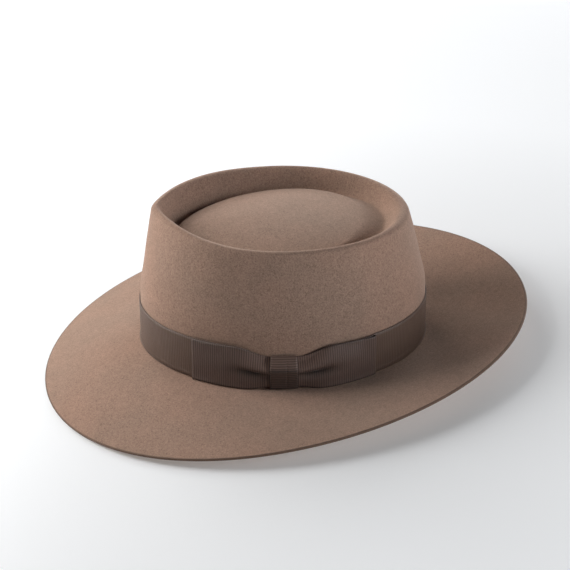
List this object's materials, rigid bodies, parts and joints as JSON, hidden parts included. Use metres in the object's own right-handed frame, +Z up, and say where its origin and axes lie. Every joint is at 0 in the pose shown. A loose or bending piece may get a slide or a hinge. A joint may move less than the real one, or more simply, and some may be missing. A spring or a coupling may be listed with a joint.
{
  "type": "porkpie hat",
  "caption": "Felt hat with a telescoped, teardrop-creased crown, a wide snapped brim, and a ribbed ribbon band with a flat bow at the side.",
  "frame": {"origin": "middle of the hat's bounding box, at the height of the table it stands on", "axes": "+Z up from the table, -Y towards the front of the hat, +X towards the wearer's left, where the bow is"},
  "size_m": [0.3262, 0.3532, 0.1214],
  "materials": {
    "felt": "matt brushed felt",
    "ribbon": "ribbed, with a slight sheen"
  },
  "bodies": {
    "root": {"felt_body": "felt", "ribbon_band": "ribbon", "bow_ribbon": "ribbon", "bow_knot": "ribbon"}
  },
  "joints": []
}
